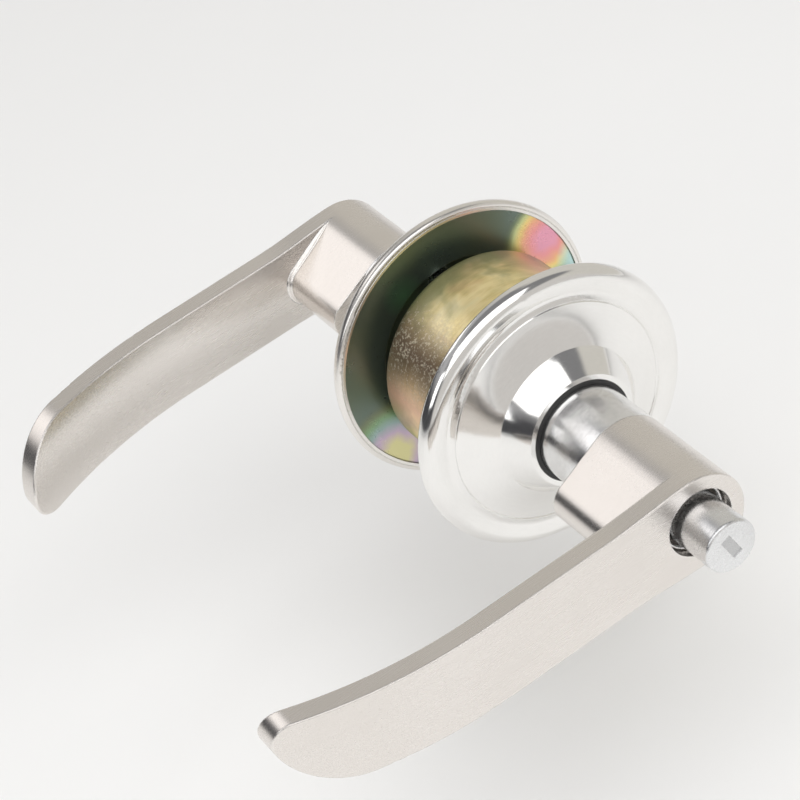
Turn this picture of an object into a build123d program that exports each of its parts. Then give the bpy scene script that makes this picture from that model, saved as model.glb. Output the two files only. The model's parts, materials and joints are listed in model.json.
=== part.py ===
from build123d import *
from math import atan2, cos, radians, sin
import os

# Bored cylindrical lever lock set, in millimetres.
# The origin is on the spindle axis at the middle of the door's thickness. The spindle runs along Y:
# the inside (button) half is at -Y and the outside half at +Y. The levers reach towards -X, and +Z is up.
# A "depth" below is a distance from the door's mid-plane, measured outwards on either side.

# Door and running gaps
door_thickness = 35.0
running_gap = 0.05
body_gap = 0.4
edge_break = 0.4

# Chassis that stands in the door's cross bore
case_diameter = 52.0
case_length = 27.0
case_wall = 1.2
case_end_wall = 1.5
case_corner = 2.4
cap_skirt = 2.5
latch_slot_width = 18.0
latch_slot_height = 18.0

# Sleeves that carry the levers
sleeve_diameter = 24.0
sleeve_neck_diameter = 20.0
sleeve_bore = 17.0
sleeve_inner_depth = 9.5
sleeve_gap = 0.35

# Hub tubes fixed in the chassis ends
hub_wall = 1.85
hub_flange_width = 0.7
hub_flange_thickness = 1.2

# Roses, the covers on the door's faces: heights are above the door's face, reaches are from the neck's foot
rose_neck_room = 4.6
rose_reach = 17.2
rose_sheet = 1.1
rose_rim_height = 1.1
rose_rim_line_width = 0.3
rose_rim_line_depth = 0.25
rose_bead_reach = 14.4
rose_bead_height = 4.3
rose_valley_reach = 11.4
rose_valley_height = 3.8
rose_groove_reach = 9.3
rose_groove_height = 4.5
rose_groove_size = 0.25
rose_neck_height = 8.7
rose_mouth_height = 14.6
rose_mouth_land = 1.3
rose_dish_sag = 0.35
rose_neck_bulge = 0.08

# Neck bushes between the rose and the sleeve
bush_wall = 1.0
bush_stand_out = 0.25
bush_round = 0.2
bush_flange_width = 0.8
bush_flange_thickness = 1.0

# Liner plates behind the roses
liner_sheet = 1.2
liner_set_back = 0.5
liner_rim_width = 2.1
liner_step_room = 4.0
liner_step_height = 2.5

# Through bolts and their posts
post_room = 1.4
bolt_diameter = 4.0
bolt_head_diameter = 6.8
bolt_head_height = 1.8
bolt_end_depth = 9.0
post_diameter = 5.8
post_end_depth = 2.0

# Levers
hub_stand_out = 30.8
hub_length = 28.7
lever_reach = 105.0
lever_half_height = 10.9
lever_root = 22.0
blade_thickness = 5.3
blade_camber_radius = 44.0
straight_length = 54.0
sweep_radius = 115.0
sweep_angle = 24.0
tip_small_radius = 6.0
tip_large_radius = 18.0
nose_diameter = 11.4
nose_centre = 14.1
button_hole = 16.8
button_hole_depth = 11.0
blade_edge = 0.4

# Push button, its guide, rod and spring
button_diameter = 13.2
button_stand_out = 11.1
button_flange_diameter = 16.0
button_flange_thickness = 2.0
button_travel = 5.0
button_slot_length = 6.4
button_slot_width = 2.6
button_slot_depth = 0.4
button_slot_turn = 20.0
guide_thickness = 2.5
rod_diameter = 4.0
rod_end_depth = 5.0
button_spring_radius = 5.6
button_spring_wire = 0.8
button_spring_turns = 5
seat_stand_in = 0.7
seat_thickness = 1.2

# Locking plunger in the outside sleeve
plunger_gap = 0.6
plunger_stem_length = 5.0
plunger_disc_thickness = 3.0

# Retractor and roll-back cams
retractor_depth = 5.6
retractor_half_height = 8.8
retractor_back = 7.0
retractor_front = 20.0
retractor_travel = 10.5
cam_radius = 14.0
cam_depth = 6.4
shoe_gap = 1.1
shoe_length = 3.6
shoe_foot = 3.0
shoe_top = 13.8
rod_slot_width = 5.0
jaw_length = 5.0
jaw_width = 8.0
jaw_height = 13.0
jaw_mouth = 4.8
jaw_lip = 1.7
retractor_spring_radius = 2.6
retractor_spring_wire = 0.7
retractor_spring_turns = 4

# Plates that guide the retractor
frame_plate = 1.2
frame_leg_width = 3.0
frame_half_length = 19.2

# Lever return springs, lever catches and the release plug
return_wire = 1.0
return_turns = 2
return_spring_room = 0.9
catch_diameter = 3.0
catch_from_face = 20.0
plug_slot_length = 9.0
plug_slot_width = 1.6
plug_slot_depth = 1.2

INSIDE = -1
OUTSIDE = 1

door_face = door_thickness / 2
case_radius = case_diameter / 2
case_end = case_length / 2
sleeve_radius = sleeve_diameter / 2
hub_radius = sleeve_radius + sleeve_gap + hub_wall
case_bore = case_radius - case_wall
case_floor = case_end - case_end_wall
hub_bore = sleeve_radius + sleeve_gap
bush_radius = sleeve_radius + running_gap + bush_wall
neck_radius = hub_radius + rose_neck_room
rose_radius = neck_radius + rose_reach
rim_bore = rose_radius - liner_rim_width
liner_depth = door_face + liner_set_back
liner_floor = liner_depth + liner_step_height
bolt_offset = hub_radius + post_room + post_diameter / 2
return_spring_depth = liner_floor + liner_sheet + bolt_head_height + return_spring_room
return_spring_height = return_turns * (return_wire + running_gap)
hub_depth = return_spring_depth + return_spring_height + return_wire
hub_end_depth = door_face + hub_stand_out
face_depth = hub_end_depth + hub_length
sleeve_seat_depth = face_depth - button_hole_depth
catch_depth = face_depth - catch_from_face
seat_depth = hub_end_depth + seat_stand_in
lever_radius = sleeve_radius
button_radius = button_diameter / 2
guide_depth = sleeve_seat_depth - guide_thickness
flange_depth = guide_depth - body_gap - button_flange_thickness


os.makedirs("parts", exist_ok=True)


def facing(side, depth):
    """Plane across the spindle, facing away from the door; its y is up and the lever lies at side * x."""
    return Plane(origin=(0, side * depth, 0), x_dir=(-side, 0, 0), z_dir=(0, side, 0))


def save(piece, label):
    piece.part.label = label
    export_step(piece.part, f"parts/{label}.step")


def tube(side, start, end, outer, inner):
    """Plain tube on the spindle axis between two depths."""
    with BuildPart() as piece:
        with BuildSketch(facing(side, start)):
            Circle(outer)
            Circle(inner, mode=Mode.SUBTRACT)
        extrude(amount=end - start)
    return piece


def bolt_places():
    """The two through bolts stand above and below the spindle."""
    return [(0, bolt_offset), (0, -bolt_offset)]


def coil(start, direction, radius, wire, turns, height):
    """Helical spring body with its axis through start."""
    with BuildPart() as piece:
        with BuildLine() as path:
            Helix(
                pitch=height / turns,
                height=height,
                radius=radius,
                center=start,
                direction=direction,
            )
        with BuildSketch(path.line ^ 0):
            Circle(wire / 2)
        sweep(is_frenet=True)
    return piece


# Chassis case: a drawn cup, open towards the inside, with a slot for the latch
with BuildPart() as chassis_case:
    with BuildSketch(facing(OUTSIDE, cap_skirt - case_end)):
        Circle(case_radius)
    extrude(amount=case_length - cap_skirt)
    outer_rim = chassis_case.edges().filter_by(GeomType.CIRCLE).sort_by(Axis.Y)[-1]
    fillet(outer_rim, case_corner)
    with BuildSketch(facing(OUTSIDE, cap_skirt - case_end)):
        Circle(case_bore)
    extrude(amount=case_floor + case_end - cap_skirt, mode=Mode.SUBTRACT)
    with BuildSketch(facing(OUTSIDE, case_floor)):
        Circle(hub_radius)
        with Locations(*bolt_places()):
            Circle(post_diameter / 2 + running_gap)
    extrude(amount=case_end_wall, mode=Mode.SUBTRACT)
    with BuildSketch(Plane.YZ.offset(case_bore - case_wall)):
        Rectangle(latch_slot_width, latch_slot_height)
    extrude(amount=case_radius, mode=Mode.SUBTRACT)
save(chassis_case, "chassis_case")

# Chassis cap: closes the case towards the inside
with BuildPart() as chassis_cap:
    with BuildSketch(facing(INSIDE, case_end - cap_skirt)):
        Circle(case_radius)
    extrude(amount=cap_skirt)
    inner_rim = chassis_cap.edges().filter_by(GeomType.CIRCLE).sort_by(Axis.Y)[0]
    fillet(inner_rim, case_corner)
    with BuildSketch(facing(INSIDE, case_end - cap_skirt)):
        Circle(case_bore)
    extrude(amount=cap_skirt - case_end_wall, mode=Mode.SUBTRACT)
    with BuildSketch(facing(INSIDE, case_floor)):
        Circle(hub_radius)
        with Locations(*bolt_places()):
            Circle(bolt_diameter / 2 + body_gap)
    extrude(amount=case_end_wall, mode=Mode.SUBTRACT)
save(chassis_cap, "chassis_cap")

# Retractor frame: two plates above and below the retractor, with legs that reach both chassis ends
plate_height = retractor_half_height + body_gap
with BuildPart() as retractor_frame:
    for plate_start in (plate_height, -plate_height - frame_plate):
        with BuildSketch(Plane.XY.offset(plate_start)):
            Rectangle(2 * frame_half_length, 2 * retractor_depth)
            with GridLocations(2 * frame_half_length - frame_leg_width, 0, 2, 1):
                Rectangle(frame_leg_width, 2 * case_floor)
        extrude(amount=frame_plate)
save(retractor_frame, "retractor_frame")


def hub_tube(side):
    """Flanged tube that stands out of the chassis and carries the sleeve."""
    with BuildPart() as piece:
        with BuildSketch(facing(side, case_floor - hub_flange_thickness)):
            Circle(hub_radius + hub_flange_width)
        extrude(amount=hub_flange_thickness)
        with BuildSketch(facing(side, case_floor)):
            Circle(hub_radius)
        extrude(amount=hub_depth - case_floor)
        with BuildSketch(facing(side, case_floor - hub_flange_thickness)):
            Circle(hub_bore)
        extrude(amount=hub_depth, mode=Mode.SUBTRACT)
    return piece


def liner(side, bolt_hole):
    """Pressed plate behind a rose, with a raised centre around the hub tube."""
    step_radius = bolt_offset + liner_step_room
    with BuildPart() as piece:
        with BuildSketch(Plane.XY):
            with BuildLine():
                Polyline(
                    (rim_bore - running_gap, side * liner_depth),
                    (step_radius, side * liner_depth),
                    (step_radius, side * liner_floor),
                    (hub_radius, side * liner_floor),
                    (hub_radius, side * (liner_floor + liner_sheet)),
                    (step_radius + liner_sheet, side * (liner_floor + liner_sheet)),
                    (step_radius + liner_sheet, side * (liner_depth + liner_sheet)),
                    (rim_bore - running_gap, side * (liner_depth + liner_sheet)),
                    close=True,
                )
            make_face()
        revolve(axis=Axis.Y)
        with BuildSketch(facing(side, liner_floor)):
            with Locations(*bolt_places()):
                Circle(bolt_hole)
        extrude(amount=liner_sheet, mode=Mode.SUBTRACT)
    return piece


def rose(side):
    """Spun cover: rolled bead, valley, grooved ring, dish and a flared neck up to the mouth."""
    neck = neck_radius
    bead = neck + rose_bead_reach
    valley = neck + rose_valley_reach
    groove = neck + rose_groove_reach
    rim_flat = rose_radius - rose_rim_height
    mouth = bush_radius + rose_mouth_land
    dish_middle = (groove - rose_groove_size + neck) / 2
    dish_height = (rose_groove_height + rose_neck_height) / 2 - rose_dish_sag
    dish_slope = atan2(rose_neck_height - rose_groove_height, groove - neck)
    neck_middle = (neck + mouth) / 2 + rose_neck_bulge
    neck_height = (rose_neck_height + rose_mouth_height) / 2 + rose_neck_bulge

    def at(radius, height):
        return (radius, side * (door_face + height))

    with BuildPart() as piece:
        with BuildSketch(Plane.XY):
            with BuildLine():
                Polyline(
                    at(rim_bore, 0),
                    at(rim_flat - rose_rim_line_width, 0),
                    at(rim_flat - rose_rim_line_width / 2, rose_rim_line_depth),
                    at(rim_flat, 0),
                )
                TangentArc(at(rim_flat, 0), at(rose_radius, rose_rim_height), tangent=(1, 0))
                TangentArc(
                    at(rose_radius, rose_rim_height),
                    at(bead, rose_bead_height),
                    tangent=(0, side),
                )
                TangentArc(
                    at(bead, rose_bead_height),
                    at(valley, rose_valley_height),
                    tangent=(-1, 0),
                )
                Spline(
                    at(valley, rose_valley_height),
                    at(groove + rose_groove_size, rose_groove_height),
                    tangents=((-1, 0), (-cos(dish_slope), side * sin(dish_slope))),
                )
                Polyline(
                    at(groove + rose_groove_size, rose_groove_height),
                    at(groove, rose_groove_height - rose_groove_size),
                    at(groove - rose_groove_size, rose_groove_height),
                )
                ThreePointArc(
                    at(groove - rose_groove_size, rose_groove_height),
                    at(dish_middle, dish_height),
                    at(neck, rose_neck_height),
                )
                ThreePointArc(
                    at(neck, rose_neck_height),
                    at(neck_middle, neck_height),
                    at(mouth, rose_mouth_height),
                )
                Polyline(
                    at(mouth, rose_mouth_height),
                    at(bush_radius, rose_mouth_height),
                    at(bush_radius, rose_mouth_height - rose_sheet),
                    at(mouth, rose_mouth_height - rose_sheet),
                    at(neck - rose_sheet, rose_neck_height - rose_sheet / 2),
                    at(groove, rose_groove_height - rose_groove_size - rose_sheet),
                    at(valley, rose_valley_height - rose_sheet),
                    at(bead - rose_sheet / 2, rose_bead_height - rose_sheet),
                    at(rim_bore, liner_set_back + liner_sheet),
                    at(rim_bore, 0),
                )
            make_face()
        revolve(axis=Axis.Y)
    return piece


def neck_bush(side):
    """Nylon bush in the rose's mouth, the bearing that the sleeve turns in."""
    seat = door_face + rose_mouth_height - rose_sheet
    with BuildPart() as piece:
        with BuildSketch(facing(side, seat - bush_flange_thickness)):
            Circle(bush_radius + bush_flange_width)
        extrude(amount=bush_flange_thickness)
        with BuildSketch(facing(side, seat)):
            Circle(bush_radius)
        extrude(amount=rose_sheet + bush_stand_out)
        outer_edge = piece.edges().filter_by(GeomType.CIRCLE).sort_by(Axis.Y)
        fillet(outer_edge[-1 if side == OUTSIDE else 0], bush_round)
        with BuildSketch(facing(side, seat - bush_flange_thickness)):
            Circle(sleeve_radius + running_gap)
        extrude(amount=hub_depth, mode=Mode.SUBTRACT)
    return piece


def return_spring(side):
    """Torsion spring around the hub tube, behind the rose's neck."""
    radius = hub_radius + body_gap + return_wire / 2
    return coil(
        (0, side * (return_spring_depth + return_wire / 2), 0),
        (0, side, 0),
        radius,
        return_wire,
        return_turns,
        return_spring_height,
    )


def sleeve(side):
    """Turned sleeve that the lever is fixed to; its narrower end sits in the lever's hub."""
    with BuildPart() as piece:
        with BuildSketch(facing(side, sleeve_inner_depth)):
            Circle(sleeve_radius)
        extrude(amount=hub_end_depth - sleeve_inner_depth)
        with BuildSketch(facing(side, hub_end_depth)):
            Circle(sleeve_neck_diameter / 2)
        extrude(amount=sleeve_seat_depth - hub_end_depth)
        with BuildSketch(facing(side, sleeve_inner_depth)):
            Circle(sleeve_bore / 2)
        extrude(amount=sleeve_seat_depth, mode=Mode.SUBTRACT)
        with BuildSketch(catch_plane(side)):
            Circle(catch_diameter / 2 + running_gap)
        extrude(amount=lever_radius, mode=Mode.SUBTRACT)
    return piece


def catch_plane(side):
    """Plane that looks down from the spindle axis, where the lever catch stands."""
    return Plane(origin=(0, side * catch_depth, 0), z_dir=(0, 0, -1))


def lever_catch(side):
    """Sprung pin that holds the lever on its sleeve, reached through a hole under the hub."""
    with BuildPart() as piece:
        with BuildSketch(catch_plane(side).offset(sleeve_bore / 2)):
            Circle(catch_diameter / 2)
        extrude(amount=lever_radius - sleeve_bore / 2 - body_gap)
        tip = piece.edges().filter_by(GeomType.CIRCLE).sort_by(Axis.Z)[0]
        fillet(tip, edge_break)
    return piece


def cam(side):
    """Half-moon roll-back cam on the sleeve's inner end; its upper corner draws the retractor back."""
    with BuildPart() as piece:
        with BuildSketch(facing(side, cam_depth)):
            Circle(cam_radius)
            with Locations((side * cam_radius, 0)):
                Rectangle(2 * cam_radius, 2 * cam_radius, mode=Mode.SUBTRACT)
            Circle(rod_diameter / 2 + body_gap, mode=Mode.SUBTRACT)
        extrude(amount=sleeve_inner_depth - cam_depth)
    return piece


def blade(side):
    """Blade before it is cut to its outline: flat outside, cambered towards the door, and swept back."""
    centre = face_depth - sweep_radius
    past_tip = lever_reach / 2
    half = lever_radius + blade_thickness
    camber_centre = face_depth - blade_thickness + (blade_camber_radius**2 - lever_half_height**2) ** 0.5
    deepest = camber_centre - blade_camber_radius
    shallowest = camber_centre - (blade_camber_radius**2 - half**2) ** 0.5

    def on_arc(angle):
        return Vector(-straight_length - sweep_radius * sin(radians(angle)),
                      side * (centre + sweep_radius * cos(radians(angle))))

    tip_direction = Vector(-cos(radians(sweep_angle)), -side * sin(radians(sweep_angle)))
    with BuildPart() as swept:
        with BuildLine() as path:
            Line((lever_radius, side * face_depth), on_arc(0))
            ThreePointArc(on_arc(0), on_arc(sweep_angle / 2), on_arc(sweep_angle))
            Line(on_arc(sweep_angle), on_arc(sweep_angle) + tip_direction * past_tip)
        with BuildSketch(Plane.YZ.offset(lever_radius)):
            with BuildLine():
                Polyline(
                    (side * shallowest, -half),
                    (side * face_depth, -half),
                    (side * face_depth, half),
                    (side * shallowest, half),
                )
                ThreePointArc((side * shallowest, half), (side * deepest, 0), (side * shallowest, -half))
            make_face()
        sweep(path=path.line)
    return swept


def blade_outline(side):
    """Side view of the blade: round over the hub, straight, and a tip rounder at one corner.

    Both levers are the same casting, so the outside one is turned over.
    """
    half = lever_half_height
    small = tip_small_radius
    large = tip_large_radius
    large_centre = Vector(lever_reach - large, large - half)
    rise = half - small - large_centre.Y
    small_centre = large_centre + Vector(((large - small) ** 2 - rise**2) ** 0.5, rise)
    outwards = (small_centre - large_centre).normalized()

    def at(along, up):
        return (side * along, -side * up)

    def round_point(centre, radius, direction):
        point = centre + direction.normalized() * radius
        return at(point.X, point.Y)

    with BuildSketch(facing(side, 0)) as outline:
        with BuildLine():
            Spline(at(0, lever_radius), at(lever_root, half), tangents=(at(1, 0), at(1, 0)))
            Line(at(lever_root, half), at(small_centre.X, half))
            ThreePointArc(
                at(small_centre.X, half),
                round_point(small_centre, small, outwards + Vector(0, 1)),
                round_point(small_centre, small, outwards),
            )
            ThreePointArc(
                round_point(large_centre, large, outwards),
                round_point(large_centre, large, outwards - Vector(0, 1)),
                at(large_centre.X, -half),
            )
            Line(at(large_centre.X, -half), at(lever_root, -half))
            Spline(at(lever_root, -half), at(0, -lever_radius), tangents=(at(-1, 0), at(-1, 0)))
            ThreePointArc(at(0, -lever_radius), at(-lever_radius, 0), at(0, lever_radius))
        make_face()
    return outline


def lever(side):
    """Cast lever: a swept blade on a hub whose section narrows to a rounded nose."""
    with BuildPart() as piece:
        add(blade(side).part)
        extrude(blade_outline(side).sketch, amount=face_depth, both=True, mode=Mode.INTERSECT)
        round_over = piece.edges().filter_by(is_blade_rim)
        fillet(round_over, blade_edge)
        with BuildSketch(facing(side, hub_end_depth)):
            Circle(lever_radius)
            with Locations((side * nose_centre, 0)):
                Circle(nose_diameter / 2)
            make_hull()
        extrude(amount=face_depth - blade_thickness / 2 - hub_end_depth)
        with BuildSketch(facing(side, hub_end_depth)):
            Circle(sleeve_neck_diameter / 2 + running_gap)
        extrude(amount=sleeve_seat_depth - hub_end_depth, mode=Mode.SUBTRACT)
        with BuildSketch(facing(side, sleeve_seat_depth)):
            Circle(button_hole / 2)
        extrude(amount=face_depth, mode=Mode.SUBTRACT)
        with BuildSketch(catch_plane(side)):
            Circle(catch_diameter / 2 + running_gap)
        extrude(amount=2 * lever_radius, mode=Mode.SUBTRACT)
    return piece


def is_blade_rim(edge):
    """True for the edges around the blade's outline, and not for its seams or its thickness."""
    middle = edge @ 0.5
    direction = edge % 0.5
    across = abs(direction.Z) > 0.99 and abs(middle.X) < lever_reach - 1
    through = abs(direction.Y) > 0.9 and edge.length < 1.2 * blade_thickness
    return not across and not through


# The two halves of the set
for side, half in ((INSIDE, "inside"), (OUTSIDE, "outside")):
    save(hub_tube(side), half + "_hub_tube")
    save(rose(side), half + "_rose")
    save(neck_bush(side), half + "_neck_bush")
    save(return_spring(side), half + "_return_spring")
    save(sleeve(side), half + "_sleeve")
    save(cam(side), half + "_cam")
    save(lever(side), half + "_lever")
    save(lever_catch(side), half + "_lever_catch")
save(liner(INSIDE, bolt_diameter / 2 + body_gap), "inside_liner")
save(liner(OUTSIDE, post_diameter / 2 + running_gap), "outside_liner")

# Bolt posts: threaded posts from the outside liner into the chassis
with BuildPart() as bolt_posts:
    with BuildSketch(facing(OUTSIDE, post_end_depth)):
        with Locations(*bolt_places()):
            Circle(post_diameter / 2)
            Circle(bolt_diameter / 2 + running_gap, mode=Mode.SUBTRACT)
    extrude(amount=liner_floor + liner_sheet - post_end_depth)
save(bolt_posts, "bolt_posts")

# Through bolts: heads on the inside liner, threads in the posts
with BuildPart() as through_bolts:
    with BuildSketch(facing(INSIDE, -bolt_end_depth)):
        with Locations(*bolt_places()):
            Circle(bolt_diameter / 2)
    extrude(amount=bolt_end_depth + liner_floor + liner_sheet)
    with BuildSketch(facing(INSIDE, liner_floor + liner_sheet)):
        with Locations(*bolt_places()):
            Circle(bolt_head_diameter / 2)
    extrude(amount=bolt_head_height)
save(through_bolts, "through_bolts")

# Retractor: draws the latch back; jaws in front, a slot for the button rod, shoes beside the inside cam
rod_clearance = rod_diameter / 2 + body_gap
with BuildPart() as retractor:
    with BuildSketch(Plane.XZ):
        with Locations(((retractor_front - retractor_back) / 2, 0)):
            Rectangle(retractor_front + retractor_back, 2 * retractor_half_height)
    extrude(amount=retractor_depth, both=True)
    with BuildSketch(Plane.XZ):
        with Locations((retractor_travel / 2, 0)):
            Rectangle(retractor_travel + 2 * rod_clearance, rod_slot_width)
    extrude(amount=retractor_depth, both=True, mode=Mode.SUBTRACT)
    with BuildSketch(Plane.XY):
        with Locations((retractor_front - jaw_length / 2 - jaw_lip, 0)):
            Rectangle(jaw_length, jaw_width)
        with Locations((retractor_front - jaw_lip, 0)):
            Rectangle(4 * jaw_lip, jaw_mouth)
    extrude(amount=jaw_height / 2, both=True, mode=Mode.SUBTRACT)
    for shoe_side in (1, -1):
        with BuildSketch(Plane.XZ.offset(retractor_depth + body_gap)):
            with Locations((-shoe_gap - shoe_length / 2, shoe_side * (shoe_foot + shoe_top) / 2)):
                Rectangle(shoe_length, shoe_top - shoe_foot)
        extrude(amount=sleeve_inner_depth - retractor_depth - 2 * body_gap)
        root_top = retractor_half_height
        with BuildSketch(Plane.XZ.offset(retractor_depth)):
            with Locations((-shoe_gap - shoe_length / 2, shoe_side * (shoe_foot + root_top) / 2)):
                Rectangle(shoe_length, root_top - shoe_foot)
        extrude(amount=body_gap)
save(retractor, "retractor")

# Retractor springs: they ride on the retractor's back and meet the case at the end of its travel
spring_height = retractor_half_height - retractor_spring_radius - retractor_spring_wire
spring_outer = spring_height + retractor_spring_radius + retractor_spring_wire / 2
spring_room = (case_bore**2 - spring_outer**2) ** 0.5 - retractor_back - retractor_travel
retractor_spring_length = spring_room - body_gap - retractor_spring_wire
with BuildPart() as retractor_springs:
    for spring_z in (spring_height, -spring_height):
        spring_start = (-retractor_back - retractor_spring_wire / 2, 0, spring_z)
        add(
            coil(
                spring_start,
                (-1, 0, 0),
                retractor_spring_radius,
                retractor_spring_wire,
                retractor_spring_turns,
                retractor_spring_length,
            ).part
        )
save(retractor_springs, "retractor_springs")

# Button guide and spring seat, pressed into the inside sleeve
save(
    tube(INSIDE, guide_depth, sleeve_seat_depth, sleeve_bore / 2, button_radius + running_gap),
    "button_guide",
)
save(
    tube(INSIDE, seat_depth - seat_thickness, seat_depth, sleeve_bore / 2, rod_clearance),
    "spring_seat",
)

# Push button: a turned pin with a flange inside the sleeve and a shallow slot in its face
with BuildPart() as push_button:
    with BuildSketch(facing(INSIDE, flange_depth)):
        Circle(button_flange_diameter / 2)
    extrude(amount=button_flange_thickness)
    with BuildSketch(facing(INSIDE, flange_depth)):
        Circle(button_radius)
    extrude(amount=face_depth + button_stand_out - flange_depth)
    fillet(push_button.edges().filter_by(GeomType.CIRCLE).sort_by(Axis.Y)[0], 2 * edge_break)
    with BuildSketch(facing(INSIDE, face_depth + button_stand_out)):
        Rectangle(button_slot_width, button_slot_length, rotation=button_slot_turn)
    extrude(amount=-button_slot_depth, mode=Mode.SUBTRACT)
save(push_button, "push_button")

# Button rod: runs from the button through the retractor to the locking plunger
with BuildPart() as button_rod:
    with BuildSketch(facing(INSIDE, -rod_end_depth)):
        Circle(rod_diameter / 2)
    extrude(amount=flange_depth + rod_end_depth)
save(button_rod, "button_rod")

# Button spring: rides on the button's flange and meets its seat when the button is in
button_spring_length = flange_depth - button_travel - seat_depth - body_gap - button_spring_wire
save(
    coil(
        (0, -flange_depth + button_spring_wire / 2, 0),
        (0, 1, 0),
        button_spring_radius,
        button_spring_wire,
        button_spring_turns,
        button_spring_length,
    ),
    "button_spring",
)

# Locking plunger: a disc that slides in the outside sleeve's bore, pushed by the rod
plunger_start = rod_end_depth + plunger_gap
plunger_disc = plunger_start + plunger_stem_length
with BuildPart() as locking_plunger:
    with BuildSketch(facing(OUTSIDE, plunger_start)):
        Circle(rod_diameter / 2)
    extrude(amount=plunger_stem_length)
    with BuildSketch(facing(OUTSIDE, plunger_disc)):
        Circle(sleeve_bore / 2 - running_gap)
    extrude(amount=plunger_disc_thickness)
save(locking_plunger, "locking_plunger")

# Release plug: fills the outside lever's hole, with a slot for a coin
with BuildPart() as release_plug:
    with BuildSketch(facing(OUTSIDE, sleeve_seat_depth)):
        Circle(button_hole / 2 - running_gap)
    extrude(amount=face_depth - sleeve_seat_depth - edge_break)
    with BuildSketch(facing(OUTSIDE, face_depth - edge_break)):
        Rectangle(plug_slot_width, plug_slot_length)
    extrude(amount=-plug_slot_depth, mode=Mode.SUBTRACT)
save(release_plug, "release_plug")
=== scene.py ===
import json
import math

import bmesh
import bpy
from mathutils import Matrix, Vector


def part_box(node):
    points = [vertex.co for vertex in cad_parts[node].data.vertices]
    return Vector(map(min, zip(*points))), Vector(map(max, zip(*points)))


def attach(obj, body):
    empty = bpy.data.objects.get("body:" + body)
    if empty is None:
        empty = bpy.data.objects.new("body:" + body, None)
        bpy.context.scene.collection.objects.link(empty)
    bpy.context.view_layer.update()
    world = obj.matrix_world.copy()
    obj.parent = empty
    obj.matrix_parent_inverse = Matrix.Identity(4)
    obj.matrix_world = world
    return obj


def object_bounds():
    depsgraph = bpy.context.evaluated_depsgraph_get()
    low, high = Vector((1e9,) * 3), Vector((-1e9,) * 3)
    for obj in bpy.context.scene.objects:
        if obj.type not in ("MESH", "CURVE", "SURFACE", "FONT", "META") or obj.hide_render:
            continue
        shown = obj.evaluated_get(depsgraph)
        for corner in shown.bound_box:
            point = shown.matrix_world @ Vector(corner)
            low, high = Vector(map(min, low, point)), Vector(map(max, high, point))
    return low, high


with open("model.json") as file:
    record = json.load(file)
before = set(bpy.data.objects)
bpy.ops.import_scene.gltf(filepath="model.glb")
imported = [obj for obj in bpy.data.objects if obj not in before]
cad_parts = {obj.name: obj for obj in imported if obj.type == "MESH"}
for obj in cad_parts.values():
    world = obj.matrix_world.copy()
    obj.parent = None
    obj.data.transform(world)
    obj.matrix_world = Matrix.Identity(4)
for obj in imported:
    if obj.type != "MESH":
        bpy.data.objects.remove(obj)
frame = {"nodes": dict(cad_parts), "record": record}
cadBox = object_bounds()
nodes = frame["nodes"]
record = frame["record"]
print("frame loaded:", len(nodes), "nodes of", record["type"])

mm = 0.001


# A shader socket, or a number, that takes part in sums
class Wire:
    def __init__(self, graph, socket):
        self.graph = graph
        self.socket = socket

    def sum(self, operation, first, second=0.0, clamp=False):
        settings = {"operation": operation, "use_clamp": clamp}
        return self.graph.node("ShaderNodeMath", settings, {0: first, 1: second})

    def __add__(self, other):
        return self.sum("ADD", self, other)

    def __radd__(self, other):
        return self.sum("ADD", other, self)

    def __sub__(self, other):
        return self.sum("SUBTRACT", self, other)

    def __rsub__(self, other):
        return self.sum("SUBTRACT", other, self)

    def __mul__(self, other):
        return self.sum("MULTIPLY", self, other)

    def __rmul__(self, other):
        return self.sum("MULTIPLY", other, self)

    def __truediv__(self, other):
        return self.sum("DIVIDE", self, other)

    def __rtruediv__(self, other):
        return self.sum("DIVIDE", other, self)

    def clamped(self):
        return self.sum("ADD", self, 0.0, clamp=True)

    def atLeast(self, other):
        return self.sum("MAXIMUM", self, other)

    def root(self):
        return self.sum("SQRT", self)


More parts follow.
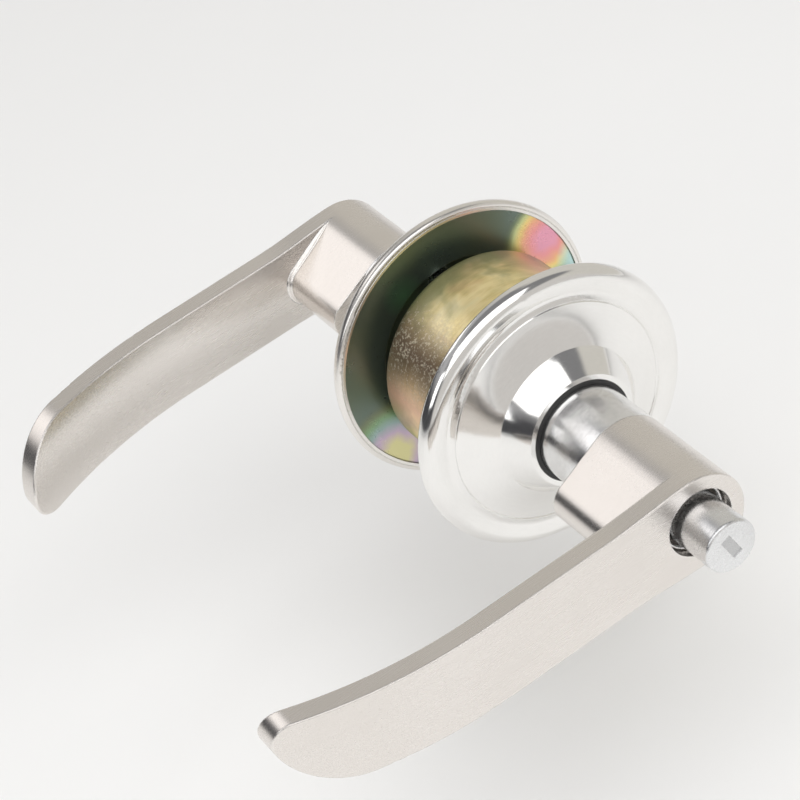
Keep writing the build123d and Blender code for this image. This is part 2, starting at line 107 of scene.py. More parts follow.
# The node tree of one material or of the world
class Graph:
    def __init__(self, owner):
        owner.use_nodes = True
        self.tree = owner.node_tree
        self.tree.nodes.clear()

    def node(self, kind, settings=None, values=None, output=0):
        made = self.tree.nodes.new(kind)
        for name, value in (settings or {}).items():
            if name == "stops":
                self.fillRamp(made.color_ramp, value)
            else:
                setattr(made, name, value)
        for name, value in (values or {}).items():
            self.plug(made.inputs[name], value)
        return Wire(self, made.outputs[output]) if made.outputs else None

    def plug(self, socket, value):
        if isinstance(value, Wire):
            self.tree.links.new(value.socket, socket)
        else:
            socket.default_value = value

    def fillRamp(self, ramp, stops):
        while len(ramp.elements) < len(stops):
            ramp.elements.new(1.0)
        for element, (place, colour) in zip(ramp.elements, stops):
            element.position = place
            element.color = rgb(colour)

    def object(self):
        return self.node("ShaderNodeTexCoord", output="Object")

    def split(self, vector):
        first = self.node("ShaderNodeSeparateXYZ", values={0: vector})
        outputs = first.socket.node.outputs
        return [Wire(self, outputs[i]) for i in range(3)]

    def join(self, x, y, z):
        return self.node("ShaderNodeCombineXYZ", values={0: x, 1: y, 2: z})

    def noise(self, vector, scale=1.0, detail=2.0, rough=0.5, distortion=0.0):
        values = {"Vector": vector, "Scale": scale, "Detail": detail, "Roughness": rough,
                  "Distortion": distortion}
        return self.node("ShaderNodeTexNoise", values=values)

    def ramp(self, factor, stops):
        return self.node("ShaderNodeValToRGB", {"stops": stops}, {0: factor})

    # Runs from 0 at low to 1 at high, held at both ends
    def span(self, value, low, high):
        values = {"Value": value, "From Min": low, "From Max": high}
        return self.node("ShaderNodeMapRange", {"clamp": True}, values)

    def blend(self, factor, first, second):
        return self.node("ShaderNodeMix", {"data_type": "RGBA"}, {0: factor, 6: first, 7: second}, output=2)

    def dot(self, first, second):
        return self.node("ShaderNodeVectorMath", {"operation": "DOT_PRODUCT"}, {0: first, 1: second},
                         output="Value")

    # Rounds the shading over hard edges, radius in metres
    def softEdge(self, radius):
        return self.node("ShaderNodeBevel", {"samples": 4}, {"Radius": radius})

    # 1 on edges that hands and cloths rub bright and where a painted highlight lightens the edge, 0 on the
    # flats
    def edgeWearAndHighlight(self, rounded, strength):
        plain = self.node("ShaderNodeNewGeometry", output="Normal")
        return ((1.0 - self.dot(rounded, plain)) * strength).clamped()

    def bump(self, height, strength, distance, normal=None):
        values = {"Height": height, "Strength": strength, "Distance": distance}
        if normal is not None:
            values["Normal"] = normal
        return self.node("ShaderNodeBump", values=values)

    def surface(self, colour, roughness, normal, fixed):
        values = {"Base Color": colour, "Roughness": roughness, "Normal": normal}
        values.update(fixed)
        shader = self.node("ShaderNodeBsdfPrincipled", values=values)
        self.node("ShaderNodeOutputMaterial", values={"Surface": shader})


def newMaterial(name):
    material = bpy.data.materials.new(name)
    return material, Graph(material)


def rgb(colour):
    return (*colour, 1.0)


# Distance from the spindle axis, the two shares that say in which direction, and the depth along it
def roundSpindle(graph):
    x, y, z = graph.split(graph.object())
    aboveZero = 1e-9
    radius = (x * x + z * z + aboveZero).root()
    return radius, x / radius, z / radius, y


# Satin nickel plate on the cast levers: brushed along the blade
satinNickelLook = {
    "light": (0.83, 0.79, 0.755),
    "dark": (0.75, 0.71, 0.67),
    "rubbedAndHighlit": (1.0, 0.985, 0.96),
    "grainWidth": 3800.0,
    "grainLength": 90.0,
    "coarseWidth": 0.3,  # as a share of the fine grain's
    "coarseLength": 0.4,
    "cloudScale": 38.0,
    "shares": (0.55, 0.25, 0.2),  # of the clouds, the coarse grain and the fine grain
    "shadeSpan": (0.25, 0.75),
    "roughness": 0.27,
    "grainRoughness": 0.06,
    "cloudRoughness": 0.06,
    "edgeRadius": 0.0005,
    "edgeWearAndHighlight": 9.0,
    "edgePolish": 0.12,
    "reliefShares": (0.7, 0.3),  # of the fine grain and the coarse grain
    "relief": 0.5,
    "grainDepth": 0.0000035,
}


def satinNickel(look):
    material, graph = newMaterial("satinNickel")
    x, y, z = graph.split(graph.object())
    long = look["grainLength"]
    wide = look["grainWidth"]
    grain = graph.noise(graph.join(x * long, y * wide, z * wide), detail=3.0, rough=0.6)
    long = look["grainLength"] * look["coarseLength"]
    wide = look["grainWidth"] * look["coarseWidth"]
    coarse = graph.noise(graph.join(x * long, y * wide, z * wide))
    cloud = graph.noise(graph.object(), scale=look["cloudScale"], detail=3.0, rough=0.55)
    ofCloud, ofCoarse, ofGrain = look["shares"]
    shade = graph.span(cloud * ofCloud + coarse * ofCoarse + grain * ofGrain, *look["shadeSpan"])
    colour = graph.blend(shade, rgb(look["dark"]), rgb(look["light"]))
    rounded = graph.softEdge(look["edgeRadius"])
    wearAndHighlight = graph.edgeWearAndHighlight(rounded, look["edgeWearAndHighlight"])
    # Edges lightened to the rubbed colour: real rubbed wear and a painted edge highlight
    colour = graph.blend(wearAndHighlight, colour, rgb(look["rubbedAndHighlit"]))
    roughness = look["roughness"] + (grain - 0.5) * look["grainRoughness"]
    roughness = roughness + (cloud - 0.5) * look["cloudRoughness"] - wearAndHighlight * look["edgePolish"]
    ofGrain, ofCoarse = look["reliefShares"]
    height = grain * ofGrain + coarse * ofCoarse
    normal = graph.bump(height, look["relief"], look["grainDepth"], rounded)
    graph.surface(colour, roughness, normal, {"Metallic": 1.0})
    return material


# Turned and polished steels: fine rings round the spindle
turning = {
    "hairScale": 0.35,  # hairlines, as a share of the rings'
    "hairSmear": 3,
    "cloudScale": 55.0,
    "shares": (0.5, 0.3, 0.2),  # of the clouds, the hairlines and the rings
    "shadeSpan": (0.30, 0.68),
    "edgeWearAndHighlight": 6.0,
    "rubbedAndHighlit": (0.95, 0.95, 0.94),
    "rubbedAndHighlitShare": 0.7,
    "leastRoughness": 0.03,
    "reliefShares": (0.6, 0.4),  # of the rings and the hairlines
    "relief": 0.5,
}

polishedSteelLook = {
    "light": (0.93, 0.92, 0.90),
    "dark": (0.85, 0.84, 0.82),
    "roughness": 0.115,
    "ringRoughness": 0.05,
    "ringDepth": 0.000003,
    "rings": 5200.0,
    "smear": 5.0,
    "edgeRadius": 0.0002,
}

sleeveSteelLook = {
    "light": (0.92, 0.92, 0.92),
    "dark": (0.74, 0.74, 0.745),
    "roughness": 0.17,
    "ringRoughness": 0.12,
    "ringDepth": 0.00009,
    "rings": 3000.0,
    "smear": 3.0,
    "edgeRadius": 0.0003,
}

satinSteelLook = {
    "light": (0.88, 0.855, 0.82),
    "dark": (0.82, 0.795, 0.76),
    "roughness": 0.24,
    "ringRoughness": 0.06,
    "ringDepth": 0.000004,
    "rings": 4200.0,
    "smear": 9.0,
    "edgeRadius": 0.0002,
}

turnedSteelLook = {
    "light": (0.66, 0.665, 0.67),
    "dark": (0.50, 0.50, 0.50),
    "roughness": 0.26,
    "ringRoughness": 0.18,
    "ringDepth": 0.00003,
    "rings": 2400.0,
    "smear": 3.0,
    "edgeRadius": 0.0003,
}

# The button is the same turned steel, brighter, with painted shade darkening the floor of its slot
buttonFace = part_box("push_button")[0].y
buttonSteelLook = dict(turnedSteelLook)
buttonSteelLook.update({
    "light": (0.86, 0.865, 0.87),
    "dark": (0.70, 0.70, 0.705),
    "slotFloorShade": (0.55, 0.55, 0.555),
    "slotFrom": buttonFace + 0.10 * mm,
    "slotTo": buttonFace + 0.30 * mm,
    "slotRadius": 4.0 * mm,
    "slotInnerRadius": 3.6 * mm,
})


def turnedMetal(name, look):
    material, graph = newMaterial(name)
    radius, right, up, depth = roundSpindle(graph)
    fine = look["rings"]
    long = look["smear"]
    lines = graph.noise(graph.join(radius * fine, right * long, up * long + depth * fine), rough=0.6)
    fine = look["rings"] * turning["hairScale"]
    long = look["smear"] * turning["hairSmear"]
    hairs = graph.noise(graph.join(radius * fine, right * long, up * long + depth * fine),
                        detail=3.0, rough=0.6)
    cloud = graph.noise(graph.object(), scale=turning["cloudScale"], detail=3.0)
    ofCloud, ofHairs, ofLines = turning["shares"]
    shade = graph.span(cloud * ofCloud + hairs * ofHairs + lines * ofLines, *turning["shadeSpan"])
    rounded = graph.softEdge(look["edgeRadius"])
    wearAndHighlight = graph.edgeWearAndHighlight(rounded, turning["edgeWearAndHighlight"])
    colour = graph.blend(shade, rgb(look["dark"]), rgb(look["light"]))
    # Painted shade: the floor of the button's slot is darkened
    if "slotFloorShade" in look:
        low = graph.span(depth, look["slotFrom"], look["slotTo"])
        inside = graph.span(radius, look["slotRadius"], look["slotInnerRadius"])
        colour = graph.blend(low * inside, colour, rgb(look["slotFloorShade"]))
    # Edges lightened to the rubbed colour: real rubbed wear and a painted edge highlight
    colour = graph.blend(wearAndHighlight * turning["rubbedAndHighlitShare"], colour, rgb(turning["rubbedAndHighlit"]))
    uneven = (lines - 0.5) * look["ringRoughness"] + (hairs - 0.5) * look["ringRoughness"]
    roughness = (look["roughness"] + uneven).atLeast(turning["leastRoughness"])
    ofLines, ofHairs = turning["reliefShares"]
    normal = graph.bump(lines * ofLines + hairs * ofHairs, turning["relief"], look["ringDepth"], rounded)
    graph.surface(colour, roughness, normal, {"Metallic": 1.0})
    return material


# A round cloud of value 1 at its middle, placed by its distance across and up in millimetres
def cloudAt(graph, x, z, across, up, size):
    dx = (x - across * mm) / (size * mm)
    dz = (z - up * mm) / (size * mm)
    return graph.span((dx * dx + dz * dz).root(), 1.0, 0.0)


# Yellow zinc chromate over drawn steel: gold, with pink, brown and green tints
goldChromateLook = {
    "tints": [
        (0.00, (0.56, 0.45, 0.20)),
        (0.35, (0.78, 0.64, 0.30)),
        (0.60, (0.92, 0.78, 0.42)),
        (1.00, (0.97, 0.88, 0.56)),
    ],
    "tintSpan": (0.36, 0.64),
    "broadScale": 70.0,
    "drawnAcross": 90.0,
    "drawnAlong": 420.0,
    "broadShare": 0.7,
    "drawnShare": 0.3,
    "distortion": 0.5,
    "speckScale": 1300.0,
    # mottling, over the span of the noise in which each colour comes up
    "mottleScale": 95.0,
    "olive": (0.46, 0.44, 0.20),
    "oliveSpan": (0.50, 0.70),
    "oliveShare": 0.55,
    "pink": (0.80, 0.47, 0.33),
    "pinkSpan": (0.46, 0.30),
    "pinkShare": 0.35,
    # towards the outside door face the film turns green
    "green": (0.26, 0.27, 0.13),
    "greenSpan": (0.001, 0.008),
    "greenWander": 0.022,
    "greenShare": 0.8,
    # stains, each with its distance across and up and its size in millimetres
    "pinked": (-25.5, 6.0, 11.0),
    "pinkedTop": (17.0, 20.0, 8.0),
    "pinkedWander": 0.5,
    "pinkedShare": 0.8,
    "brown": (0.24, 0.16, 0.11),
    "browned": (-20.0, 17.5, 16.0),
    "brownedGain": 1.5,
    "brownedWander": 2.0,
    "glint": (0.86, 0.78, 0.60),
    "glintSpan": (0.63, 0.71),
    "glintRise": 0.12,  # more glints in the brown stain
    "glintShare": 0.2,
    "glintBrownShare": 0.7,
    "edgeRadius": 0.0004,
    "edgeWearAndHighlight": 4.0,
    "rubbedAndHighlit": (0.80, 0.76, 0.55),
    "rubbedAndHighlitShare": 0.5,
    "roughness": 0.40,
    "speckRoughness": 0.25,
    "broadRoughness": 0.1,
    "relief": 0.3,
    "reliefShare": 0.5,
    "reliefDepth": 0.00003,
    "fixed": {"Metallic": 0.8, "Coat Weight": 0.2, "Coat Roughness": 0.3},
}


def goldChromate(look):
    material, graph = newMaterial("goldChromate")
    place = graph.object()
    x, y, z = graph.split(place)
    across = look["drawnAcross"]
    along = look["drawnAlong"]
    broad = graph.noise(place, scale=look["broadScale"], distortion=look["distortion"])
    drawn = graph.noise(graph.join(x * across, y * along, z * across), detail=3.0, rough=0.6)
    specks = graph.noise(place, scale=look["speckScale"], detail=3.0, rough=0.7)
    tint = graph.span(broad * look["broadShare"] + drawn * look["drawnShare"], *look["tintSpan"])
    colour = graph.ramp(tint, look["tints"])
    mottle = graph.noise(place, scale=look["mottleScale"], detail=3.0, distortion=look["distortion"])
    olive = graph.span(mottle, *look["oliveSpan"]) * look["oliveShare"]
    colour = graph.blend(olive, colour, rgb(look["olive"]))
    pink = graph.span(mottle, *look["pinkSpan"]) * look["pinkShare"]
    colour = graph.blend(pink, colour, rgb(look["pink"]))
    green = graph.span(y + (mottle - 0.5) * look["greenWander"], *look["greenSpan"])
    colour = graph.blend(green * look["greenShare"], colour, rgb(look["green"]))
    pinked = cloudAt(graph, x, z, *look["pinked"]) + cloudAt(graph, x, z, *look["pinkedTop"])
    pinked = (pinked + (broad - 0.5) * look["pinkedWander"]).clamped() * look["pinkedShare"]
    colour = graph.blend(pinked, colour, rgb(look["pink"]))
    brown = cloudAt(graph, x, z, *look["browned"])
    speckled = (brown * look["brownedGain"] + (specks - 0.5) * look["brownedWander"]).clamped() * brown
    colour = graph.blend(speckled, colour, rgb(look["brown"]))
    glints = graph.span(specks + brown * look["glintRise"], *look["glintSpan"])
    glints = glints * (brown * look["glintBrownShare"] + look["glintShare"])
    colour = graph.blend(glints, colour, rgb(look["glint"]))
    rounded = graph.softEdge(look["edgeRadius"])
    wearAndHighlight = graph.edgeWearAndHighlight(rounded, look["edgeWearAndHighlight"])
    # Edges lightened to the rubbed colour: real rubbed wear and a painted edge highlight
    colour = graph.blend(wearAndHighlight * look["rubbedAndHighlitShare"], colour, rgb(look["rubbedAndHighlit"]))
    roughness = look["roughness"] + (specks - 0.5) * look["speckRoughness"]
    roughness = roughness + (broad - 0.5) * look["broadRoughness"]
    height = drawn * look["reliefShare"] + specks * look["reliefShare"]
    normal = graph.bump(height, look["relief"], look["reliefDepth"], rounded)
    graph.surface(colour, roughness, normal, look["fixed"])
    return material


# Dark chromate film on the liners, with rainbow patches at set places on the disc
linerChromateLook = {
    "ground": (0.16, 0.21, 0.18),
    "olive": (0.17, 0.21, 0.15),
    "oliveSpan": (0.35, 0.70),
    "cloudScale": 60.0,
    "warpScale": 150.0,
    "warpDistortion": 0.8,
    "wobble": 0.5,
    # film colours, from the rim of a patch to its middle
    "bright": [
        (0.00, (0.14, 0.16, 0.12)),
        (0.16, (0.24, 0.30, 0.16)),
        (0.32, (0.62, 0.66, 0.32)),
        (0.48, (0.90, 0.68, 0.26)),
        (0.64, (0.90, 0.46, 0.28)),
        (0.82, (0.88, 0.36, 0.36)),
        (1.00, (0.84, 0.38, 0.50)),
    ],
    "cool": [
        (0.00, (0.13, 0.15, 0.12)),
        (0.18, (0.22, 0.24, 0.12)),
        (0.38, (0.24, 0.38, 0.22)),
        (0.58, (0.32, 0.43, 0.42)),
        (0.78, (0.56, 0.44, 0.56)),
        (1.00, (0.70, 0.66, 0.34)),
    ],
    # each patch has its distance across and up and its size in millimetres
    "brightPatch": (28.5, 12.5, 13.0),
    "coolPatch": (-27.0, -19.0, 17.0),
    "filmGain": 1.25,
    "filmSpan": (0.0, 0.25),
    "greenPatch": (-11.0, 21.5, 6.0),
    "green": (0.20, 0.44, 0.22),
    "greenShare": 0.8,
    "cyanPatch": (36.0, 3.0, 7.0),
    "cyan": (0.56, 0.80, 0.78),
    "cyanGain": 1.6,
    "speckScale": 1400.0,
    "edgeRadius": 0.0003,
    "edgeWearAndHighlight": 4.0,
    "rubbedAndHighlit": (0.55, 0.54, 0.42),
    "rubbedAndHighlitShare": 0.6,
    "roughness": 0.30,
    "cloudRoughness": 0.15,
    "speckRoughness": 0.1,
    "relief": 0.2,
    "reliefDepth": 0.00002,
    "fixed": {"Metallic": 0.85, "Coat Weight": 0.3, "Coat Roughness": 0.15},
}


def linerChromate(look):
    material, graph = newMaterial("linerChromate")
    place = graph.object()
    x, y, z = graph.split(place)
    warp = graph.noise(place, scale=look["warpScale"], detail=3.0, distortion=look["warpDistortion"])
    cloud = graph.noise(place, scale=look["cloudScale"])
    wobble = (warp - 0.5) * look["wobble"]
    colour = graph.blend(graph.span(cloud, *look["oliveSpan"]), rgb(look["ground"]), rgb(look["olive"]))
    green = cloudAt(graph, x, z, *look["greenPatch"])
    colour = graph.blend(green * look["greenShare"], colour, rgb(look["green"]))
    for patch, film in (("brightPatch", "bright"), ("coolPatch", "cool")):
        near = cloudAt(graph, x, z, *look[patch])
        tint = graph.ramp((near * look["filmGain"] + wobble * near).clamped(), look[film])
        colour = graph.blend(graph.span(near, *look["filmSpan"]), colour, tint)
    cyan = cloudAt(graph, x, z, *look["cyanPatch"])
    colour = graph.blend((cyan * look["cyanGain"] + wobble * cyan).clamped(), colour, rgb(look["cyan"]))
    specks = graph.noise(place, scale=look["speckScale"])
    rounded = graph.softEdge(look["edgeRadius"])
    wearAndHighlight = graph.edgeWearAndHighlight(rounded, look["edgeWearAndHighlight"])
    # Edges lightened to the rubbed colour: a painted highlight along the step edge, with some real rubbed
    # wear
    colour = graph.blend(wearAndHighlight * look["rubbedAndHighlitShare"], colour, rgb(look["rubbedAndHighlit"]))
    roughness = look["roughness"] + (cloud - 0.5) * look["cloudRoughness"]
    roughness = roughness + (specks - 0.5) * look["speckRoughness"]
    normal = graph.bump(specks, look["relief"], look["reliefDepth"], rounded)
    graph.surface(colour, roughness, normal, look["fixed"])
    return material


# Black nylon of the neck bushes
blackNylonLook = {
    "dark": (0.012, 0.012, 0.013),
    "light": (0.035, 0.034, 0.033),
    "shadeSpan": (0.35, 0.65),
    "grainScale": 2600.0,
    "grainShare": 0.5,
    "cloudScale": 140.0,
    "cloudShare": 0.5,
    "edgeRadius": 0.0002,
    "roughness": 0.48,
    "grainRoughness": 0.2,
    "relief": 0.4,
    "reliefDepth": 0.00003,
}


def blackNylon(look):
    material, graph = newMaterial("blackNylon")
    place = graph.object()
    grain = graph.noise(place, scale=look["grainScale"], detail=3.0)
    cloud = graph.noise(place, scale=look["cloudScale"])
    shade = graph.span(grain * look["grainShare"] + cloud * look["cloudShare"], *look["shadeSpan"])
    colour = graph.blend(shade, rgb(look["dark"]), rgb(look["light"]))
    rounded = graph.softEdge(look["edgeRadius"])
    normal = graph.bump(grain, look["relief"], look["reliefDepth"], rounded)
    roughness = look["roughness"] + (grain - 0.5) * look["grainRoughness"]
    graph.surface(colour, roughness, normal, {"Metallic": 0.0})
    return material


# Oiled spring wire
springSteelLook = {
    "dark": (0.16, 0.16, 0.17),
    "light": (0.42, 0.42, 0.43),
    "shadeSpan": (0.35, 0.65),
    "drawnScale": 900.0,
    "drawnShare": 0.4,
    "oilScale": 160.0,
    "oilShare": 0.6,
    "roughness": 0.25,
    "oilRoughness": 0.2,
    "relief": 0.3,
    "reliefDepth": 0.00002,
}


def springSteel(look):
    material, graph = newMaterial("springSteel")
    place = graph.object()
    drawn = graph.noise(place, scale=look["drawnScale"], detail=3.0)
    oil = graph.noise(place, scale=look["oilScale"])
    shade = graph.span(drawn * look["drawnShare"] + oil * look["oilShare"], *look["shadeSpan"])
    colour = graph.blend(shade, rgb(look["dark"]), rgb(look["light"]))
    normal = graph.bump(drawn, look["relief"], look["reliefDepth"])
    roughness = look["roughness"] + (oil - 0.5) * look["oilRoughness"]
    graph.surface(colour, roughness, normal, {"Metallic": 1.0})
    return material


finishes = {
    "satin_nickel": satinNickel(satinNickelLook),
    "polished_steel": turnedMetal("polishedSteel", polishedSteelLook),
    "satin_steel": turnedMetal("satinSteel", satinSteelLook),
    "turned_steel": turnedMetal("turnedSteel", turnedSteelLook),
    "gold_chromate": goldChromate(goldChromateLook),
    "liner_chromate": linerChromate(linerChromateLook),
    "black_nylon": blackNylon(blackNylonLook),
    "spring_steel": springSteel(springSteelLook),
}

ownFinishes = {
    "inside_sleeve": turnedMetal("sleeveSteel", sleeveSteelLook),
    "push_button": turnedMetal("buttonSteel", buttonSteelLook),
}
ownFinishes["outside_sleeve"] = ownFinishes["inside_sleeve"]

for part in record["subparts"]:
    name = part["node"]
    node = nodes[name]
    if not node.material_slots:
        node.data.materials.append(None)
    for place in node.material_slots:
        place.material = ownFinishes.get(name, finishes[part["material_slot"]])
print("finishes on", len(record["subparts"]), "nodes")


# Cast fillets where each hub meets the inner face of its blade
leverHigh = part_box("outside_lever")[1]
leverShape = {
    "hubRadius": leverHigh.z,
    "noseRadius": 5.7 * mm,
    "noseCentre": 14.1 * mm,
    "faceDepth": leverHigh.y,
    "bladeThickness": 5.3 * mm,
    "halfHeight": 10.9 * mm,
    "camberRadius": 44.0 * mm,
    "filletRadius": 1.0 * mm,
    "leastRadius": 0.15,  # at both ends of the run, as a share of filletRadius
    "growth": 5,
    "sunk": 0.15 * mm,
    "firstAngle": 12.0,
    "hubSteps": 8,
    "wallSteps": 16,
    "arcSteps": 6,
}


# Points round the nose side of the hub, with the way that its wall faces, from top to bottom
def hubWall(shape):
    hub = shape["hubRadius"]
    nose = shape["noseRadius"]
    lean = math.asin((hub - nose) / shape["noseCentre"])
    first = math.radians(shape["firstAngle"])
    shares = [i / shape["wallSteps"] for i in range(1, shape["wallSteps"] + 1)]
    runs = []
    for i in range(shape["hubSteps"] + 1):
        runs.append((0.0, hub, first + (lean - first) * i / shape["hubSteps"]))
    for share in shares:
        runs.append((-shape["noseCentre"] * share, hub + (nose - hub) * share, lean))
    for share in shares:
        runs.append((-shape["noseCentre"], nose, lean + (math.pi / 2 - lean) * share))
    upper = [(x - radius * math.sin(angle), radius * math.cos(angle), -math.sin(angle), math.cos(angle))
             for x, radius, angle in runs]
    lower = [(x, -z, nx, -nz) for x, z, nx, nz in reversed(upper[:-1])]
    return upper + lower


# A skin over rings of points, capped at both ends
def closedTube(name, rings):
    mesh = bpy.data.meshes.new(name)
    builder = bmesh.new()
    rows = [[builder.verts.new(point) for point in ring] for ring in rings]
    for one, two in zip(rows, rows[1:]):
        for i in range(len(one)):
            j = (i + 1) % len(one)
            builder.faces.new((one[i], one[j], two[j], two[i]))
    builder.faces.new(rows[0])
    builder.faces.new(list(reversed(rows[-1])))
    bmesh.ops.recalc_face_normals(builder, faces=builder.faces)
    for face in builder.faces:
        face.smooth = True
    builder.to_mesh(mesh)
    builder.free()
    piece = bpy.data.objects.new(name, mesh)
    bpy.context.scene.collection.objects.link(piece)
    return piece


# Depth of the blade's inner face at a height above or below the spindle axis
def innerFace(shape, height):
    rise = math.sqrt(shape["camberRadius"] ** 2 - shape["halfHeight"] ** 2)
    centre = shape["faceDepth"] - shape["bladeThickness"] + rise
    return centre - math.sqrt(shape["camberRadius"] ** 2 - height * height)


def rootFillet(name, side, shape):
    wall = hubWall(shape)
    sunk = shape["sunk"]
    rings = []
    for i, (x, z, nx, nz) in enumerate(wall):
        fromEnd = min(i, len(wall) - 1 - i) / (len(wall) - 1)
        radius = shape["filletRadius"] * min(1.0, shape["leastRadius"] + fromEnd * shape["growth"])

        def at(out, up):
            height = z + nz * out
            return (x + nx * out, side * (innerFace(shape, height) - up), height)

        ring = [at(-sunk, -sunk), at(-sunk, radius)]
        for k in range(shape["arcSteps"] + 1):
            turn = math.pi / 2 * k / shape["arcSteps"]
            ring.append(at(radius - radius * math.cos(turn), radius - radius * math.sin(turn)))
        ring.append(at(radius, -sunk))
        rings.append(ring)
    return closedTube(name, rings)


rootFillets = {
    # name: side of the door, body that it rides
    "insideRootFillet": (-1, "inside_handle"),
    "outsideRootFillet": (1, "outside_handle"),
}
for name, (side, body) in rootFillets.items():
    fillet = rootFillet(name, side, leverShape)
    fillet.data.materials.append(finishes["satin_nickel"])
    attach(fillet, body)

# Spiral snap ring that keeps the button's guide in the hub, seen beside the button
snapRing = {
    "radius": 7.85 * mm,
    "wire": 0.34 * mm,
    "depth": leverHigh.y - 2.9 * mm,
    "pitch": 0.80 * mm,
    "turns": 2,
    "towards": 200.0,
    "steps": 144,
    "around": 12,
}
rings = []
for i in range(snapRing["steps"] + 1):
    along = snapRing["turns"] * i / snapRing["steps"]
    turn = math.radians(snapRing["towards"] + 360.0 * along)
    depth = snapRing["depth"] - snapRing["pitch"] * along
    ring = []
    for k in range(snapRing["around"]):
        about = 2 * math.pi * k / snapRing["around"]
        reach = snapRing["radius"] + snapRing["wire"] * math.cos(about)
        sink = depth + snapRing["wire"] * math.sin(about)
        ring.append((reach * math.cos(turn), -sink, reach * math.sin(turn)))
    rings.append(ring)
clip = closedTube("buttonSnapRing", rings)
clip.data.materials.append(ownFinishes["push_button"])
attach(clip, "inside_handle")
print("fillets and snap ring made")


# Studio: a pale floor, a grey room that is darker low on the left, and soft boxes
studio = {
    "floorSize": 4.0,
    "floorDrop": 0.054,  # room for the levers to swing down
    "floorColour": (0.88, 0.88, 0.875),
    "floorShade": 0.985,
    "floorScale": 25.0,
    "floorGrain": 900.0,
    "floorRelief": 0.05,
    "floorDepth": 0.0001,
    "floorRoughness": 0.8,
    "roomDark": (0.06, 0.06, 0.065),
    "roomFront": (0.62, 0.60, 0.58),
    "roomLeft": (0.42, 0.42, 0.43),
    "roomRight": (0.62, 0.60, 0.555),
    "ceiling": (0.22, 0.22, 0.225),
    "below": (0.90, 0.90, 0.895),
    # spans of direction, across X, along Y and up Z, over which one tone turns into the next
    "rightSpan": (-0.10, 0.30),
    "upwardSpan": (0.30, 0.60),
    "frontSpan": (-0.52, -0.66),
    "overFrontSpan": (0.05, -0.10),
    "overFrontUp": (0.50, 0.58),
    "ceilingSpan": (0.86, 0.93),
    "belowSpan": (0.0, -0.06),
}

low, high = cadBox
middle = (low + high) / 2

floorMesh = bpy.data.meshes.new("floor")
builder = bmesh.new()
half = studio["floorSize"] / 2
corners = ((-1, -1), (1, -1), (1, 1), (-1, 1))
builder.faces.new([builder.verts.new((x * half, y * half, 0)) for x, y in corners])
builder.to_mesh(floorMesh)
builder.free()
floor = bpy.data.objects.new("floor", floorMesh)
floor.location = (middle.x, middle.y, low.z - studio["floorDrop"])
bpy.context.scene.collection.objects.link(floor)

paper, paperGraph = newMaterial("palePaper")
paperCloud = paperGraph.noise(paperGraph.object(), scale=studio["floorScale"], detail=3.0)
shaded = [tone * studio["floorShade"] for tone in studio["floorColour"]]
paperColour = paperGraph.blend(paperCloud, rgb(studio["floorColour"]), rgb(shaded))
paperGrain = paperGraph.noise(paperGraph.object(), scale=studio["floorGrain"])
paperBump = paperGraph.bump(paperGrain, studio["floorRelief"], studio["floorDepth"])
paperGraph.surface(paperColour, studio["floorRoughness"], paperBump, {"Metallic": 0.0})
floorMesh.materials.append(paper)

world = bpy.data.worlds.new("greyRoom")
bpy.context.scene.world = world
room = Graph(world)
skyX, skyY, skyZ = room.split(room.node("ShaderNodeTexCoord", output="Generated"))
upward = room.span(skyZ, *studio["upwardSpan"])
leftWall = room.blend(upward, rgb(studio["roomDark"]), rgb(studio["roomLeft"]))
toRight = room.span(skyX, *studio["rightSpan"])
sideWalls = room.blend(toRight, leftWall, rgb(studio["roomRight"]))
toFront = room.span(skyY, *studio["frontSpan"])
walls = room.blend(toFront, sideWalls, rgb(studio["roomFront"]))
overFront = room.span(skyY, *studio["overFrontSpan"]) * room.span(skyZ, *studio["overFrontUp"])
overhead = room.span(skyZ, *studio["ceilingSpan"]).atLeast(overFront)
roofed = room.blend(overhead, walls, rgb(studio["ceiling"]))
downward = room.span(skyZ, *studio["belowSpan"])
sky = room.blend(downward, roofed, rgb(studio["below"]))
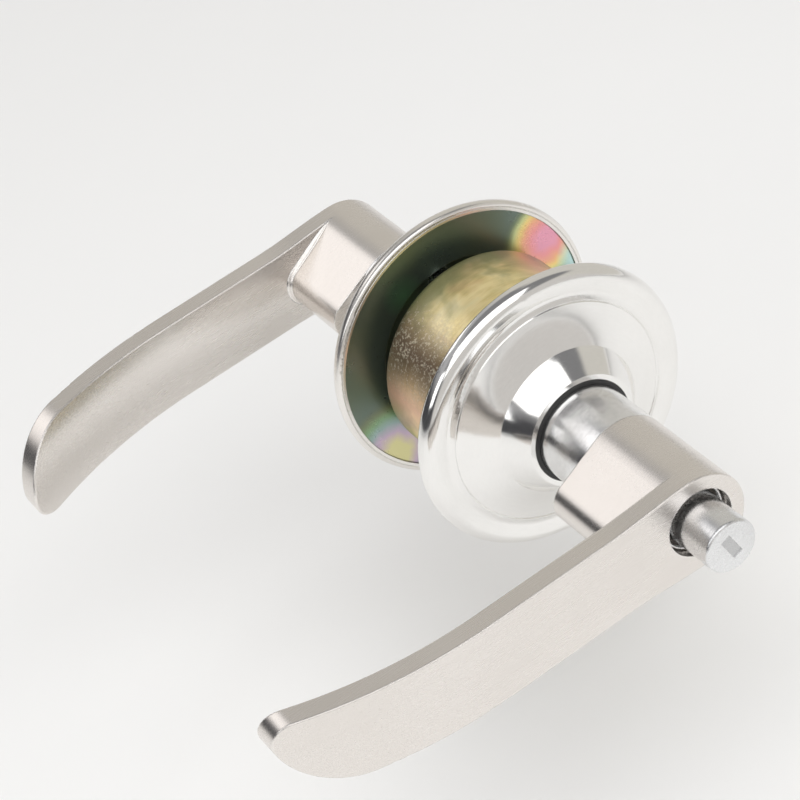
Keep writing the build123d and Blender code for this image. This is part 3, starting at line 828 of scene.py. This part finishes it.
shine = room.node("ShaderNodeBackground", values={"Color": sky, "Strength": 1.0})
room.node("ShaderNodeOutputWorld", values={"Surface": shine})

softBoxes = {
    # direction, distance, width, height, brightness, colour, seen in the metal
    "backBox": ((-0.33, 0.73, 0.57), 1.20, 0.62, 0.62, 0.98, (1.0, 0.97, 0.95), True),
    "leftBox": ((-0.86, -0.18, 0.47), 1.20, 0.45, 0.50, 1.6, (0.99, 0.995, 1.0), True),
    "frontBox": ((-0.16, -0.54, 0.825), 1.20, 1.60, 0.90, 1.35, (1.0, 1.0, 1.0), True),
    "washBox": ((0.10, -0.20, 1.00), 1.50, 1.60, 1.60, 1.72, (1.0, 1.0, 1.0), False),
}
for name, (direction, distance, width, height, brightness, colour, seen) in softBoxes.items():
    lamp = bpy.data.lights.new(name, "AREA")
    lamp.shape = "RECTANGLE"
    lamp.size = width
    lamp.size_y = height
    lamp.energy = brightness * math.pi * width * height
    lamp.color = colour
    holder = bpy.data.objects.new(name, lamp)
    away = Vector(direction).normalized()
    holder.location = middle + away * distance
    holder.rotation_euler = away.to_track_quat("Z", "Y").to_euler()
    holder.visible_camera = False
    holder.visible_glossy = seen
    bpy.context.scene.collection.objects.link(holder)
print("studio ready")

# Camera
view = {
    "place": (-0.19479, -0.47533, 0.42034),
    "target": (-0.0240266, 0.0100853, 0.0018944),
    "roll": 20.926,
    "lens": 125.66,
    "sensor": 36.0,
    "clipStart": 0.01,
    "clipEnd": 20.0,
}
lens = bpy.data.cameras.new("camera")
lens.lens = view["lens"]
lens.sensor_width = view["sensor"]
lens.clip_start = view["clipStart"]
lens.clip_end = view["clipEnd"]
camera = bpy.data.objects.new("camera", lens)
bpy.context.scene.collection.objects.link(camera)
sight = Vector(view["target"]) - Vector(view["place"])
roll = Matrix.Rotation(math.radians(-view["roll"]), 4, "Z")
aim = sight.to_track_quat("-Z", "Y").to_matrix().to_4x4()
camera.matrix_world = Matrix.Translation(view["place"]) @ aim @ roll
bpy.context.scene.camera = camera
bpy.context.scene.view_settings.view_transform = "Standard"
print("camera set")
